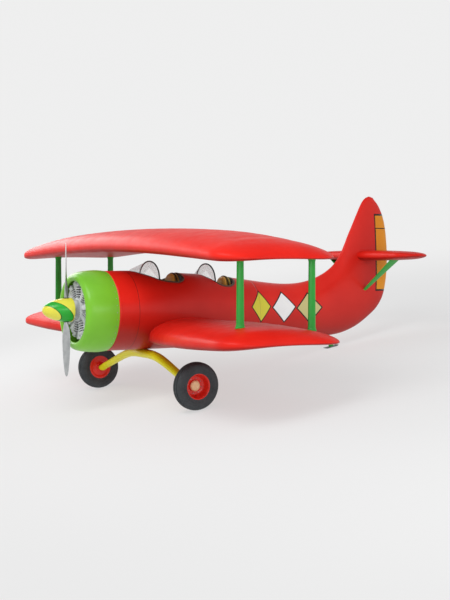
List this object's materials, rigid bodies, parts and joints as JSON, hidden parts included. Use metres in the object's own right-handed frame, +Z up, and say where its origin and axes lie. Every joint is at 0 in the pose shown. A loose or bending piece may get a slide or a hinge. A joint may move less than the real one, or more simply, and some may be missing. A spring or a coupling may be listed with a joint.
{
  "type": "biplane",
  "caption": "Open two-seat biplane with a cowled radial engine, two-blade propeller, bow-sprung fixed gear, tall swept fin and a hinged rudder.",
  "frame": {"origin": "on the floor under the centre of the bounding box, parked on the two main wheels and the tail skid", "axes": "+X towards the nose, +Y to the port side, +Z up; the machine's own level line is tipped nose-up by 10.58 degrees as it parks"},
  "size_m": [6.5742, 7.68, 2.6482],
  "materials": {
    "red_dope": "glossy red dope",
    "cowl_green": "glossy light green enamel",
    "strut_green": "satin green enamel",
    "gear_yellow": "satin yellow enamel",
    "spinner_yellow": "glossy yellow enamel with a green band",
    "rudder_orange": "satin orange dope",
    "engine_grey": "cast and machined light alloy",
    "blade_grey": "polished forged alloy",
    "tyre_black": "dark grey rubber with ribs around it",
    "rim_red": "glossy red enamel",
    "hubcap_cream": "satin cream-orange enamel",
    "bare_steel": "bare steel",
    "windscreen": "clear acrylic",
    "seat_leather": "ochre leather",
    "interior_grey": "matt blue-grey paint"
  },
  "bodies": {
    "airframe": {"cowl": "cowl_green", "engine": "engine_grey", "engine_baffle": "engine_grey", "firewall": "bare_steel", "fuselage": "red_dope", "rear_fuselage": "red_dope", "cockpit_floor": "interior_grey", "panel_front": "interior_grey", "panel_rear": "interior_grey", "bulkhead_front": "interior_grey", "bulkhead_rear": "interior_grey", "seat_front": "seat_leather", "seat_rear": "seat_leather", "stick_front": "bare_steel", "stick_rear": "bare_steel", "windscreen_front": "windscreen", "windscreen_rear": "windscreen", "upper_wing": "red_dope", "lower_wing_left": "red_dope", "lower_wing_right": "red_dope", "strut_front_left": "strut_green", "strut_front_right": "strut_green", "strut_rear_left": "strut_green", "strut_rear_right": "strut_green", "gear_bow": "gear_yellow", "axle_left": "bare_steel", "axle_right": "bare_steel", "tailplane_left": "red_dope", "tailplane_right": "red_dope", "tail_strut_left": "strut_green", "tail_strut_right": "strut_green", "tail_skid": "strut_green", "skid_shoe": "bare_steel"},
    "propeller": {"spinner": "spinner_yellow", "propeller": "blade_grey"},
    "wheel_left": {"rim_left": "rim_red", "hubcap_left": "hubcap_cream", "tyre_left": "tyre_black"},
    "wheel_right": {"rim_right": "rim_red", "hubcap_right": "hubcap_cream", "tyre_right": "tyre_black"},
    "rudder": {"rudder": "rudder_orange", "rudder_top": "rudder_orange"}
  },
  "joints": [
    {"name": "propeller_spin", "type": "hinge", "parent": "airframe", "child": "propeller", "pos_m": [2.90861, 0, 1.64964], "axis": [0.983, 0, 0.1836], "continuous": true},
    {"name": "wheel_left_spin", "type": "hinge", "parent": "airframe", "child": "wheel_left", "pos_m": [1.82266, 1.735, 0.35623], "axis": [0, 0.999, -0.0436], "continuous": true},
    {"name": "wheel_right_spin", "type": "hinge", "parent": "airframe", "child": "wheel_right", "pos_m": [1.82266, -1.735, 0.35623], "axis": [0, 0.999, 0.0436], "continuous": true},
    {"name": "rudder_hinge", "type": "hinge", "parent": "airframe", "child": "rudder", "pos_m": [-2.99929, 0, 1.30895], "axis": [-0.1836, 0, 0.983], "range_deg": [-25, 25]}
  ]
}
